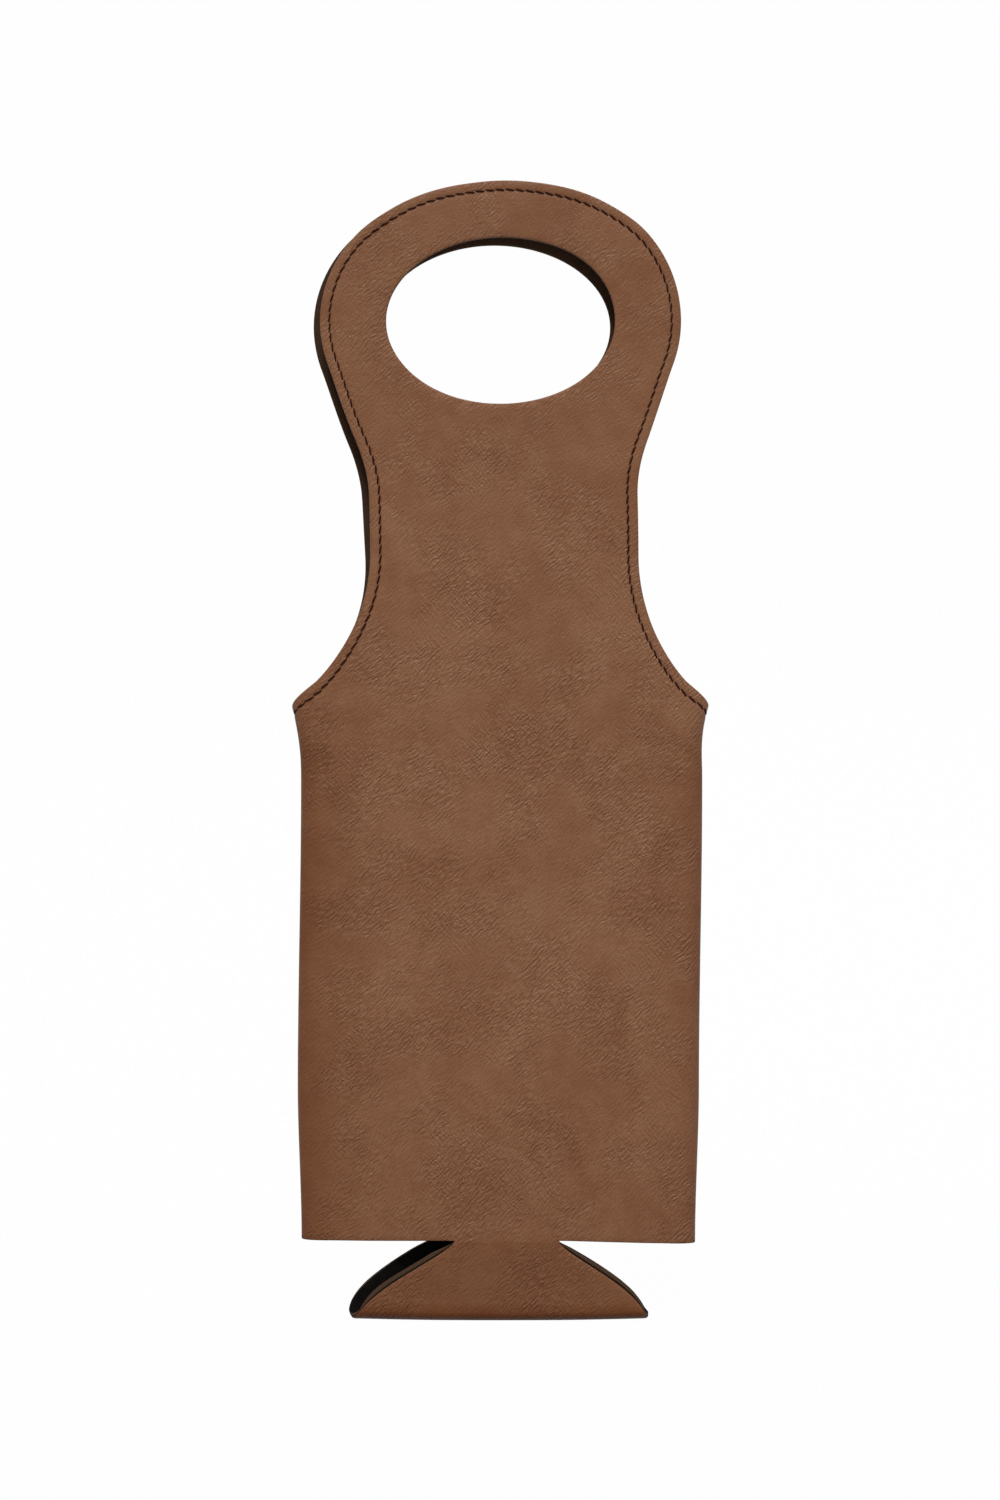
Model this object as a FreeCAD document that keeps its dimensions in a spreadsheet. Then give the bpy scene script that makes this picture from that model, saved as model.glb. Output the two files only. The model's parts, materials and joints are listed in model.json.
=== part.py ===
import FreeCAD, Part
import math
import os
import re

import Sketcher

# Bottle carrier of lined leatherette, lying flat as it is sold: front and back sheet, each a pocket
# wall with a handle above it, joined by sewn side seams and by a base that is folded in two.
# Origin: centre of the hand hole, midway between the two sheets. +Z up, front towards -Y.
# The carrier is alike left and right, front and back, so one quarter is drawn and the rest mirrored.

SIZES = {
    # sheet: leatherette outside, lining inside, and the room between the two linings
    "leather_thickness": 1.0,
    "lining_thickness": 1.2,
    "rest_gap": 6.0,
    "fold_clearance": 0.15,
    "seam_clearance": 0.3,
    # pocket: flat wall between two upright folds, then a side panel out to the seam
    "fold_outside_waist": 1.1,
    "fold_panel_width": 23.2,
    "corner_height": 196.4,
    # shoulder and waist: the edge sweeps in from the seam's top corner to the handle
    "shoulder_rise": 50.6,
    "waist_half_width": 47.9,
    "waist_below_fold": 10.8,
    "waist_above_fold": 11.5,
    "waist_radius": 53.3,
    # handle: a flank leaning out (degrees from upright) to a round head, oval hand hole at its widest level
    "flank_angle": 20.5,
    "head_overhang": 16.6,
    "head_side_radius": 44.6,
    "head_top_radius": 83.9,
    "hand_hole_width": 82.5,
    "hand_hole_height": 59.8,
    # base half: narrow neck under the wall, widening to rounded tips on the bottom fold
    "neck_half_width": 18.7,
    "neck_drop": 3.0,
    "base_root_half_width": 23.4,
    "base_tip_half_width": 53.0,
    "base_tip_radius": 6.5,
    # thread
    "stitch_margin": 3.4,
    "stitch_pitch": 3.6,
    "stitch_length": 2.7,
    "thread_diameter": 0.6,
    "seam_margin": 4.0,
}

doc = FreeCAD.newDocument("BottleCarrier")


def make_sheet():
    """The driving dimensions, one row each."""
    table = doc.addObject("Spreadsheet::Sheet", "Sizes")
    for row, (alias, value) in enumerate(SIZES.items(), start=1):
        table.set(f"A{row}", alias)
        table.set(f"B{row}", str(value))
        table.setAlias(f"B{row}", alias)
    doc.recompute()
    return table


sheet = make_sheet()


def size(alias):
    """A dimension as the sheet holds it."""
    return float(sheet.get(alias))


def formula(text):
    """The text with each dimension's name made into a reference to its cell."""
    def refer(found):
        word = found.group()
        return f"Sizes.{word}" if word in SIZES else word
    return re.sub(r"[a-z_]+", refer, text)


def bind(thing, place, text):
    """Tie one property of an object to the sheet."""
    thing.setExpression(place, formula(text))


# Values that follow from the sizes, first as formulas for the drawings, then as numbers.
# A side panel and a base half are equally wide, so both lean by one angle and the carrier opens evenly.
TILT = "asin(rest_gap / 2 / fold_panel_width)"
WALL_HALF_WIDTH = "(waist_half_width + fold_outside_waist)"
SHOULDER_RUN = "(fold_outside_waist + fold_panel_width)"
SHOULDER_RADIUS = f"(({SHOULDER_RUN} ^ 2 + shoulder_rise ^ 2) / (2 * {SHOULDER_RUN}))"
WAIST_LEVEL = "(corner_height + shoulder_rise)"
FOLD_LEVEL = f"({WAIST_LEVEL} + waist_below_fold)"
FLANK_LIFT = "head_overhang / tan(flank_angle)"
ARCS_LIFT = "(head_side_radius + waist_radius) * tan(flank_angle / 2)"
HEAD_LIFT = f"({FLANK_LIFT} + {ARCS_LIFT})"
FOLD_DROP = f"({HEAD_LIFT} + waist_above_fold)"
WALL_DROP = f"({FOLD_DROP} + {FOLD_LEVEL})"

clear = size("fold_clearance")
sheet_thickness = size("leather_thickness") + size("lining_thickness")
tilt = math.asin(size("rest_gap") / 2 / size("fold_panel_width"))
wall_half_width = size("waist_half_width") + size("fold_outside_waist")
shoulder_run = size("fold_outside_waist") + size("fold_panel_width")
shoulder_radius = (shoulder_run ** 2 + size("shoulder_rise") ** 2) / (2 * shoulder_run)
shoulder_centre_x = size("waist_half_width") + shoulder_radius
waist_level = size("corner_height") + size("shoulder_rise")
fold_level = waist_level + size("waist_below_fold")

# Handle edge: waist arc, straight flank, side arc and top arc, each tangent to the next.
flank_angle = math.radians(size("flank_angle"))
flank_lift = size("head_overhang") / math.tan(flank_angle)
arcs_lift = (size("head_side_radius") + size("waist_radius")) * math.tan(flank_angle / 2)
head_lift = flank_lift + arcs_lift
fold_drop = head_lift + size("waist_above_fold")
wall_drop = fold_drop + fold_level
waist_centre_x = size("waist_half_width") + size("waist_radius")
side_centre_x = size("waist_half_width") + size("head_overhang") - size("head_side_radius")
top_radius = size("head_top_radius")
top_centre_drop = math.sqrt((top_radius - size("head_side_radius")) ** 2 - side_centre_x ** 2)
top_angle = math.atan2(top_centre_drop, side_centre_x)


def on_circle(centre, radius, angle):
    return (centre[0] + radius * math.cos(angle), centre[1] + radius * math.sin(angle))


def shoulder_angle(from_wall, radius):
    """Angle on a circle about the shoulder's centre where it stands that far outside the wall's fold."""
    across = shoulder_centre_x - wall_half_width - from_wall
    return math.pi + math.acos(across / radius)


# Sketch drawing. Points of a line or arc: 1 is its start, 2 its end and 3 an arc's centre.
# The sketch's own X axis is -1, its Y axis -2, and its origin point 1 of the X axis.
def draw_line(sketch, start, end):
    return sketch.addGeometry(Part.LineSegment(FreeCAD.Vector(*start), FreeCAD.Vector(*end)), False)


def draw_arc(sketch, centre, radius, start_angle, end_angle):
    circle = Part.Circle(FreeCAD.Vector(*centre), FreeCAD.Vector(0, 0, 1), radius)
    return sketch.addGeometry(Part.ArcOfCircle(circle, start_angle, end_angle), False)


def constrain(sketch, *parts):
    return sketch.addConstraint(Sketcher.Constraint(*parts))


def keep_on_x_axis(sketch, *end):
    constrain(sketch, "PointOnObject", *end, -1)


def keep_on_y_axis(sketch, *end):
    constrain(sketch, "PointOnObject", *end, -2)


def dimension(sketch, text, *parts):
    index = constrain(sketch, *parts)
    name = f"size_{index}"
    sketch.renameConstraint(index, name)
    bind(sketch, f"Constraints.{name}", text)


def place_x(sketch, end, text):
    """Set how far an end stands to the right of the sketch's origin."""
    dimension(sketch, text, "DistanceX", -1, 1, *end, sketch.getPoint(*end).x)


def place_y(sketch, end, text):
    """Set how far an end stands above the sketch's origin."""
    dimension(sketch, text, "DistanceY", -1, 1, *end, sketch.getPoint(*end).y)


def place_below(sketch, end, text):
    """Set how far an end stands below the sketch's origin."""
    dimension(sketch, text, "DistanceY", *end, -1, 1, -sketch.getPoint(*end).y)


def set_radius(sketch, arc, text):
    dimension(sketch, text, "Radius", arc, sketch.Geometry[arc].Radius)


def draw_handle(sketch):
    """Right half of a handle, about the hand hole's centre."""
    waist = size("waist_half_width")
    waist_start = -head_lift
    fold = -fold_drop + clear
    top_centre = (0, -top_centre_drop)
    top = top_radius - top_centre_drop
    waist_centre = (waist_centre_x, waist_start)
    side_centre = (side_centre_x, 0)
    flank_low = on_circle(waist_centre, size("waist_radius"), math.pi - flank_angle)
    flank_high = on_circle(side_centre, size("head_side_radius"), -flank_angle)
    fold_line = draw_line(sketch, (0, fold), (waist, fold))
    waist_line = draw_line(sketch, (waist, fold), (waist, waist_start))
    waist_arc = draw_arc(sketch, waist_centre, size("waist_radius"), math.pi - flank_angle, math.pi)
    flank = draw_line(sketch, flank_low, flank_high)
    side_arc = draw_arc(sketch, side_centre, size("head_side_radius"), -flank_angle, top_angle)
    top_arc = draw_arc(sketch, top_centre, top_radius, top_angle, math.pi / 2)
    middle = draw_line(sketch, (0, top), (0, fold))
    constrain(sketch, "Coincident", fold_line, 2, waist_line, 1)
    constrain(sketch, "Tangent", waist_line, 2, waist_arc, 2)
    constrain(sketch, "Tangent", waist_arc, 1, flank, 1)
    constrain(sketch, "Tangent", flank, 2, side_arc, 1)
    constrain(sketch, "Tangent", side_arc, 2, top_arc, 1)
    constrain(sketch, "Coincident", top_arc, 2, middle, 1)
    constrain(sketch, "Coincident", middle, 2, fold_line, 1)
    constrain(sketch, "Horizontal", fold_line)
    constrain(sketch, "Vertical", waist_line)
    keep_on_y_axis(sketch, middle, 1)
    keep_on_y_axis(sketch, middle, 2)
    keep_on_y_axis(sketch, top_arc, 3)
    keep_on_x_axis(sketch, side_arc, 3)
    place_below(sketch, (fold_line, 1), f"{FOLD_DROP} - fold_clearance")
    place_x(sketch, (waist_line, 1), "waist_half_width")
    place_below(sketch, (waist_line, 2), HEAD_LIFT)
    set_radius(sketch, waist_arc, "waist_radius")
    set_radius(sketch, side_arc, "head_side_radius")
    set_radius(sketch, top_arc, "head_top_radius")
    place_x(sketch, (side_arc, 3), "waist_half_width + head_overhang - head_side_radius")


def draw_hand_hole(sketch):
    oval = Part.Ellipse(FreeCAD.Vector(0, 0, 0), size("hand_hole_width") / 2, size("hand_hole_height") / 2)
    edge = sketch.addGeometry(oval, False)
    sketch.exposeInternalGeometry(edge)
    long_axis = edge + 1
    short_axis = edge + 2
    constrain(sketch, "Coincident", edge, 3, -1, 1)
    constrain(sketch, "Horizontal", long_axis)
    dimension(sketch, "hand_hole_width", "Distance", long_axis, size("hand_hole_width"))
    dimension(sketch, "hand_hole_height", "Distance", short_axis, size("hand_hole_height"))


def draw_wall(sketch):
    """Right half of a pocket wall with its neck, about the middle of its bottom edge."""
    waist = size("waist_half_width")
    side = wall_half_width - clear
    neck = size("neck_half_width")
    root = size("base_root_half_width")
    neck_end = -size("neck_drop") + clear
    top = fold_level - clear
    centre = (shoulder_centre_x, waist_level)
    low_angle = shoulder_angle(-clear, shoulder_radius)
    corner = on_circle(centre, shoulder_radius, low_angle)
    neck_line = draw_line(sketch, (0, neck_end), (root, neck_end))
    neck_side = draw_line(sketch, (root, neck_end), (neck, 0))
    bottom = draw_line(sketch, (neck, 0), (side, 0))
    fold = draw_line(sketch, (side, 0), corner)
    shoulder = draw_arc(sketch, centre, shoulder_radius, math.pi, low_angle)
    waist_line = draw_line(sketch, (waist, waist_level), (waist, top))
    top_line = draw_line(sketch, (waist, top), (0, top))
    middle = draw_line(sketch, (0, top), (0, neck_end))
    constrain(sketch, "Coincident", neck_line, 2, neck_side, 1)
    constrain(sketch, "Coincident", neck_side, 2, bottom, 1)
    constrain(sketch, "Coincident", bottom, 2, fold, 1)
    constrain(sketch, "Coincident", fold, 2, shoulder, 2)
    constrain(sketch, "Tangent", shoulder, 1, waist_line, 1)
    constrain(sketch, "Coincident", waist_line, 2, top_line, 1)
    constrain(sketch, "Coincident", top_line, 2, middle, 1)
    constrain(sketch, "Coincident", middle, 2, neck_line, 1)
    constrain(sketch, "Horizontal", neck_line)
    constrain(sketch, "Horizontal", top_line)
    constrain(sketch, "Vertical", fold)
    constrain(sketch, "Vertical", waist_line)
    keep_on_x_axis(sketch, bottom, 1)
    keep_on_x_axis(sketch, bottom, 2)
    keep_on_y_axis(sketch, middle, 1)
    keep_on_y_axis(sketch, middle, 2)
    place_below(sketch, (neck_line, 1), "neck_drop - fold_clearance")
    place_x(sketch, (neck_line, 2), "base_root_half_width")
    place_x(sketch, (bottom, 1), "neck_half_width")
    place_x(sketch, (bottom, 2), f"{WALL_HALF_WIDTH} - fold_clearance")
    place_x(sketch, (waist_line, 1), "waist_half_width")
    place_y(sketch, (waist_line, 1), WAIST_LEVEL)
    set_radius(sketch, shoulder, SHOULDER_RADIUS)
    place_y(sketch, (top_line, 2), f"{FOLD_LEVEL} - fold_clearance")


def draw_side(sketch):
    """A side panel, from its fold (the sketch's Y axis) out to the seam, above the bottom edge."""
    seam = size("fold_panel_width") - size("seam_clearance")
    centre = (shoulder_centre_x - wall_half_width, waist_level)
    tip_angle = shoulder_angle(clear, shoulder_radius)
    corner_angle = shoulder_angle(seam, shoulder_radius)
    tip = on_circle(centre, shoulder_radius, tip_angle)
    corner = on_circle(centre, shoulder_radius, corner_angle)
    bottom = draw_line(sketch, (clear, 0), (seam, 0))
    seam_line = draw_line(sketch, (seam, 0), corner)
    shoulder = draw_arc(sketch, centre, shoulder_radius, tip_angle, corner_angle)
    fold = draw_line(sketch, tip, (clear, 0))
    constrain(sketch, "Coincident", bottom, 2, seam_line, 1)
    constrain(sketch, "Coincident", seam_line, 2, shoulder, 2)
    constrain(sketch, "Coincident", shoulder, 1, fold, 1)
    constrain(sketch, "Coincident", fold, 2, bottom, 1)
    constrain(sketch, "Vertical", seam_line)
    constrain(sketch, "Vertical", fold)
    keep_on_x_axis(sketch, bottom, 1)
    keep_on_x_axis(sketch, bottom, 2)
    place_x(sketch, (bottom, 1), "fold_clearance")
    place_x(sketch, (bottom, 2), "fold_panel_width - seam_clearance")
    place_x(sketch, (shoulder, 3), f"{SHOULDER_RADIUS} - fold_outside_waist")
    place_y(sketch, (shoulder, 3), WAIST_LEVEL)
    set_radius(sketch, shoulder, SHOULDER_RADIUS)


def draw_base(sketch):
    """Right half of a base half, hanging from its neck fold (the sketch's X axis) to the bottom fold."""
    root = size("base_root_half_width")
    tip_radius = size("base_tip_radius")
    low = -size("fold_panel_width") + clear
    tip_centre = (size("base_tip_half_width") - tip_radius, low)
    reach = math.hypot(tip_centre[0] - root, low + clear)
    edge_angle = math.atan2(low + clear, tip_centre[0] - root) + math.pi
    edge_angle -= math.acos(tip_radius / reach)
    shoulder = on_circle(tip_centre, tip_radius, edge_angle)
    neck_line = draw_line(sketch, (0, -clear), (root, -clear))
    edge = draw_line(sketch, (root, -clear), shoulder)
    tip = draw_arc(sketch, tip_centre, tip_radius, 0, edge_angle)
    fold_line = draw_line(sketch, (size("base_tip_half_width"), low), (0, low))
    middle = draw_line(sketch, (0, low), (0, -clear))
    constrain(sketch, "Coincident", neck_line, 2, edge, 1)
    constrain(sketch, "Tangent", edge, 2, tip, 2)
    constrain(sketch, "Coincident", tip, 1, fold_line, 1)
    constrain(sketch, "Coincident", fold_line, 2, middle, 1)
    constrain(sketch, "Coincident", middle, 2, neck_line, 1)
    constrain(sketch, "Horizontal", neck_line)
    constrain(sketch, "Horizontal", fold_line)
    constrain(sketch, "PointOnObject", tip, 3, fold_line)
    keep_on_y_axis(sketch, middle, 1)
    keep_on_y_axis(sketch, middle, 2)
    place_below(sketch, (neck_line, 1), "fold_clearance")
    place_x(sketch, (neck_line, 2), "base_root_half_width")
    place_below(sketch, (fold_line, 2), "fold_panel_width - fold_clearance")
    place_x(sketch, (fold_line, 1), "base_tip_half_width")
    set_radius(sketch, tip, "base_tip_radius")


# Sheet layers: how far the layer lies outside the inner face, and how thick it is.
LAYERS = {
    "lining": ("0", "lining_thickness"),
    "leather": ("lining_thickness", "leather_thickness"),
}


def origin_plane(body, role):
    return next(plane for plane in body.Origin.OriginFeatures if plane.Role == role)


def add_sketch(body, name, draw):
    """A sketch seen from the front, upright in the body's own frame."""
    sketch = body.newObject("Sketcher::SketchObject", name)
    sketch.AttachmentSupport = [(origin_plane(body, "XZ_Plane"), "")]
    sketch.MapMode = "FlatFace"
    draw(sketch)
    return sketch


def make_layer(name, layer, draw, place, two_halves=True):
    """One layer of a panel: its outline padded outwards, and mirrored where only half is drawn."""
    offset, thickness = LAYERS[layer]
    body = doc.addObject("PartDesign::Body", f"{name}_{layer}")
    outline = add_sketch(body, f"{body.Name}_outline", draw)
    bind(outline, "AttachmentOffset.Base.z", offset)
    pad = body.newObject("PartDesign::Pad", f"{body.Name}_pad")
    pad.Profile = outline
    bind(pad, "Length", thickness)
    if two_halves:
        whole = body.newObject("PartDesign::Mirrored", f"{body.Name}_whole")
        whole.Originals = [pad]
        whole.MirrorPlane = (origin_plane(body, "YZ_Plane"), [""])
        body.Tip = whole
    place(body)
    doc.recompute()
    return body


def cut_hand_hole(body):
    """Cut the oval through one layer of the handle."""
    before = body.Shape.Volume
    pocket = body.newObject("PartDesign::Pocket", f"{body.Name}_hand_hole")
    pocket.Profile = add_sketch(body, f"{body.Name}_oval", draw_hand_hole)
    pocket.Type = "ThroughAll"
    pocket.SideType = "Symmetric"
    body.Tip = pocket
    doc.recompute()
    if body.Shape.Volume >= before:
        raise RuntimeError(f"the hand hole cut nothing from {body.Name}")


def place_handle(panel):
    bind(panel, "Placement.Base.y", "-rest_gap / 2")


def place_wall(panel):
    bind(panel, "Placement.Base.y", "-rest_gap / 2")
    bind(panel, "Placement.Base.z", f"-{WALL_DROP}")


def place_side(panel):
    panel.Placement.Rotation = FreeCAD.Rotation(FreeCAD.Vector(0, 0, 1), math.degrees(tilt))
    bind(panel, "Placement.Base.x", WALL_HALF_WIDTH)
    bind(panel, "Placement.Base.y", "-rest_gap / 2")
    bind(panel, "Placement.Base.z", f"-{WALL_DROP}")
    bind(panel, "Placement.Rotation.Angle", TILT)


def place_base(panel):
    panel.Placement.Rotation = FreeCAD.Rotation(FreeCAD.Vector(1, 0, 0), math.degrees(tilt))
    bind(panel, "Placement.Base.y", "-rest_gap / 2")
    bind(panel, "Placement.Base.z", f"-{WALL_DROP} - neck_drop")
    bind(panel, "Placement.Rotation.Angle", TILT)


# Thread. A stitch is a half-round bar that lies with its flat side on the sheet.
def make_stitch(length, outward):
    """A stitch along X about the origin, proud of the XZ plane on the outward side (-1 front, 1 back)."""
    radius = size("thread_diameter") / 2
    low = FreeCAD.Vector(-length / 2, 0, -radius)
    crown = FreeCAD.Vector(-length / 2, outward * radius, 0)
    high = FreeCAD.Vector(-length / 2, 0, radius)
    section = Part.Wire([Part.Arc(low, crown, high).toShape(), Part.LineSegment(high, low).toShape()])
    return Part.Face(section).extrude(FreeCAD.Vector(length, 0, 0))


def sew(path, level, outward=-1):
    """Stitches at an even pitch along a path in the XZ plane, lying on the sheet's face at that Y level."""
    count = max(1, round(path.Length / size("stitch_pitch")))
    points = path.discretize(count + 1)
    stitches = []
    for start, end in zip(points, points[1:]):
        along = end - start
        middle = (start + end) / 2
        middle.y = level
        stitch = make_stitch(size("stitch_length"), outward)
        turn = FreeCAD.Rotation(FreeCAD.Vector(0, -1, 0), math.degrees(math.atan2(along.z, along.x)))
        stitch.Placement = FreeCAD.Placement(middle, turn)
        stitches.append(stitch)
    return stitches


def upright(point):
    """A sketch point as a point of the XZ plane."""
    return FreeCAD.Vector(point[0], 0, point[1])


def straight(start, end):
    return Part.LineSegment(upright(start), upright(end)).toShape()


def curve(centre, radius, start_angle, end_angle):
    angles = (start_angle, (start_angle + end_angle) / 2, end_angle)
    points = [upright(on_circle(centre, radius, angle)) for angle in angles]
    return Part.Arc(*points).toShape()


def handle_path():
    """Topstitch line on the right half of a handle, from the handle fold up to the middle of the top."""
    margin = size("stitch_margin")
    waist = size("waist_half_width") - margin
    waist_radius = size("waist_radius") + margin
    side_radius = size("head_side_radius") - margin
    waist_centre = (waist_centre_x, -head_lift)
    side_centre = (side_centre_x, 0)
    top_centre = (0, -top_centre_drop)
    flank_low = on_circle(waist_centre, waist_radius, math.pi - flank_angle)
    flank_high = on_circle(side_centre, side_radius, -flank_angle)
    return Part.Wire([
        straight((waist, -fold_drop), (waist, -head_lift)),
        curve(waist_centre, waist_radius, math.pi, math.pi - flank_angle),
        straight(flank_low, flank_high),
        curve(side_centre, side_radius, -flank_angle, top_angle),
        curve(top_centre, top_radius - margin, top_angle, math.pi / 2),
    ])


def wall_path():
    """Topstitch line on the right of a wall, from the side panel's fold up to the handle fold."""
    margin = size("stitch_margin")
    waist = size("waist_half_width") - margin
    centre = (shoulder_centre_x, waist_level)
    radius = shoulder_radius + margin
    return Part.Wire([
        curve(centre, radius, shoulder_angle(-size("thread_diameter"), radius), math.pi),
        straight((waist, waist_level), (waist, fold_level)),
    ])


def side_path():
    """Topstitch line on a side panel's shoulder, from near the seam in to the panel's fold."""
    margin = size("stitch_margin")
    centre = (shoulder_centre_x - wall_half_width, waist_level)
    radius = shoulder_radius + margin
    near_seam = size("fold_panel_width") - margin / 2
    near_fold = size("thread_diameter")
    ends = [shoulder_angle(place, radius) for place in (near_seam, near_fold)]
    return Part.Wire([curve(centre, radius, *ends)])


def seam_path():
    """Seam line inside a side panel, from the bottom edge to the seam's top corner."""
    across = size("fold_panel_width") - size("seam_margin")
    return Part.Wire([straight((across, 0), (across, size("corner_height")))])


def make_thread(name, stitches, place):
    """A run of stitches as one piece, set where its panel is."""
    run = doc.addObject("Part::Feature", name)
    run.Shape = Part.Compound(stitches)
    place(run)
    doc.recompute()


def both_sides(stitches):
    centre = FreeCAD.Vector(0, 0, 0)
    sideways = FreeCAD.Vector(1, 0, 0)
    return stitches + [stitch.mirror(centre, sideways) for stitch in stitches]


def mirror(name, source, normal):
    """The matching piece on the carrier's other side."""
    copy = doc.addObject("Part::Mirroring", name)
    copy.Source = doc.getObject(source)
    copy.Base = FreeCAD.Vector(0, 0, 0)
    copy.Normal = FreeCAD.Vector(*normal)


def make_front():
    """Front wall, handle and base half, and the right front side panel."""
    for layer in LAYERS:
        make_layer("front_wall", layer, draw_wall, place_wall)
        handle = make_layer("front_handle", layer, draw_handle, place_handle)
        cut_hand_hole(handle)
        make_layer("right_front_side", layer, draw_side, place_side, two_halves=False)
        make_layer("front_base", layer, draw_base, place_base)
    make_thread("front_handle_topstitch", both_sides(sew(handle_path(), -sheet_thickness)), place_handle)
    make_thread("front_wall_topstitch", both_sides(sew(wall_path(), -sheet_thickness)), place_wall)
    make_thread("right_front_side_topstitch", sew(side_path(), -sheet_thickness), place_side)
    make_thread("right_seam_stitching", sew(seam_path(), 0, outward=1), place_side)


def make_mirrored():
    """The left side from the right, and the back from the front."""
    left = (1, 0, 0)
    back = (0, 1, 0)
    for piece in ("leather", "lining", "topstitch"):
        mirror(f"left_front_side_{piece}", f"right_front_side_{piece}", left)
        for panel in ("wall", "handle"):
            mirror(f"back_{panel}_{piece}", f"front_{panel}_{piece}", back)
        for side in ("left", "right"):
            mirror(f"{side}_back_side_{piece}", f"{side}_front_side_{piece}", back)
    for layer in LAYERS:
        mirror(f"back_base_{layer}", f"front_base_{layer}", back)
    mirror("left_seam_stitching", "right_seam_stitching", left)
    doc.recompute()


def check_document():
    for thing in doc.Objects:
        if "Invalid" in thing.State or "Error" in thing.State:
            raise RuntimeError(f"{thing.Name} failed: {thing.State}")


def pieces():
    """The objects that are pieces of the carrier: bodies, mirrored copies and thread."""
    kinds = ("PartDesign::Body", "Part::Mirroring", "Part::Feature")
    return [thing for thing in doc.Objects if thing.TypeId in kinds]


def export():
    for piece in pieces():
        if piece.Shape.isNull() or not piece.Shape.isValid():
            raise RuntimeError(f"{piece.Label} has no valid shape")
    os.makedirs("parts", exist_ok=True)
    for piece in pieces():
        piece.Shape.exportStep(f"parts/{piece.Label}.step")
        box = piece.Shape.BoundBox
        print(f"{piece.Label}: {len(piece.Shape.Solids)} solids, {piece.Shape.Volume / 1000:.2f} cm3, "
              f"{box.XLength:.1f} x {box.YLength:.1f} x {box.ZLength:.1f} mm")


make_front()
make_mirrored()
check_document()
export()
bottom_fold = wall_drop + size("neck_drop") + size("fold_panel_width") * math.cos(tilt)
print(f"panels lean by {math.degrees(tilt):.4f} degrees; bottom fold {bottom_fold:.3f} mm below the hand hole")
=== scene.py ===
import json
import math

import bpy
import numpy as np
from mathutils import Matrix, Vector
from mathutils.geometry import delaunay_2d_cdt
from mathutils.kdtree import KDTree


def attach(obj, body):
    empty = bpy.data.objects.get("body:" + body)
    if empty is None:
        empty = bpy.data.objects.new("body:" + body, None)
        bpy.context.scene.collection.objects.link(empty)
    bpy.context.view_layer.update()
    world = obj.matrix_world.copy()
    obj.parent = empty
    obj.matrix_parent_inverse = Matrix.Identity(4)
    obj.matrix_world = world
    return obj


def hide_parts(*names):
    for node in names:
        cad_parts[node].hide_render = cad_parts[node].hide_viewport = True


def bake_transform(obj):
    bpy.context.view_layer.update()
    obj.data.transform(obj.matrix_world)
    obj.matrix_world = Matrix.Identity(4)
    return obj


# Bottle carrier of lined leatherette: the looks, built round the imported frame.
# Front and back are each one sheet. A sheet is laid out flat first, as it was cut, in millimetres:
# s across from its middle, z up as in the frame, and t the depth under its leather face.
# place() then folds the flat sheet into the frame, and everything on it, thread too, goes along.

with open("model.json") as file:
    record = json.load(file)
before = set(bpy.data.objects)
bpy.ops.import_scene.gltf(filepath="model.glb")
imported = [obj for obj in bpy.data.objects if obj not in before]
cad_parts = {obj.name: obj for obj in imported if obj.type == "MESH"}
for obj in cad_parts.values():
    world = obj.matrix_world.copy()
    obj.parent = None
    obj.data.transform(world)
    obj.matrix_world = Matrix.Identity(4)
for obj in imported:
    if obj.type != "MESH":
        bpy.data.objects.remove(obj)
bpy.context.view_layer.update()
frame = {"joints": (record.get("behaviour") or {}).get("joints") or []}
MM = 0.001
TINY = 1e-6
joints = {joint["name"]: joint for joint in frame["joints"]}


def joint_place(name):
    """A joint's place in millimetres."""
    return [value / MM for value in joints[name]["pos_m"]]


# Places that the frame gives
SIDE_FOLD = joint_place("right_front_fold")[0]
INNER_FACE = -joint_place("right_front_fold")[1]
HALF_DEPTH = -joint_place("front_handle_fold")[1]
HANDLE_FOLD = joint_place("front_handle_fold")[2]
BASE_FOLD = joint_place("front_base_fold")[2]
SEAM = -joint_place("left_seam_fold")[0]
SHEET = HALF_DEPTH - INNER_FACE

# Sheet and its outline, with the sizes of the part's source
LEATHER = 1.0
NECK_DROP = 3.0
WALL_BOTTOM = BASE_FOLD + NECK_DROP
WAIST_HALF_WIDTH = 47.9
WAIST_LOW = HANDLE_FOLD - 10.8
WAIST_HIGH = HANDLE_FOLD + 11.5
WAIST_RADIUS = 53.3
SHOULDER_RADIUS = 64.83
FLANK_ANGLE = 20.5
HEAD_OVERHANG = 16.6
HEAD_SIDE_RADIUS = 44.6
HEAD_TOP_RADIUS = 83.9
HOLE_HALF_WIDTH = 41.25
HOLE_HALF_HEIGHT = 29.9
NECK_HALF_WIDTH = 18.7

# What only the soft sheet has: flared seam tops, rolled seams, sway, rounded edges
EAR_LEVEL = -138.1
EAR_FLARE = 2.9
EAR_LENGTH = 21.0
TAPER = 1.4
TAPER_LENGTH = 56.0
SWAY = 0.6
SWAY_TOP = -165.0
SWAY_LENGTH = 115.0
SEAM_STAND_OUT = 0.6
SEAM_ROLL_ACROSS = 9.0
SEAM_ROLL_DEEP = 4.4
BASE_ROLL = 3.6
BASE_REACH = 28.8
BASE_TIP = 53.3
BASE_SHIFT = -0.1
BASE_SAG = 0.8
EDGE_ROUND = 0.45
WAVE = 0.3
WAVE_SHIFT = 90.0
WAVE_LENGTHS = ((17, 31), (-37, 23), (11, -13))
SKIVE = 1.1
LINING_BEVEL = 0.4
OVERHANG_RISE = 5.0

# For the front (1) and the back (-1): the two guide points of the base's side, across and below the neck,
# and how far the lining reaches past the leather there and leans to the left
BASE_GUIDES = {1: ((21.0, 6.0), (51.0, 17.0)), -1: ((20.5, 1.0), (59.7, 20.0))}
LINING_REACH = {1: (3.3, 0.3), -1: (0.9, 0.0)}

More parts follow.
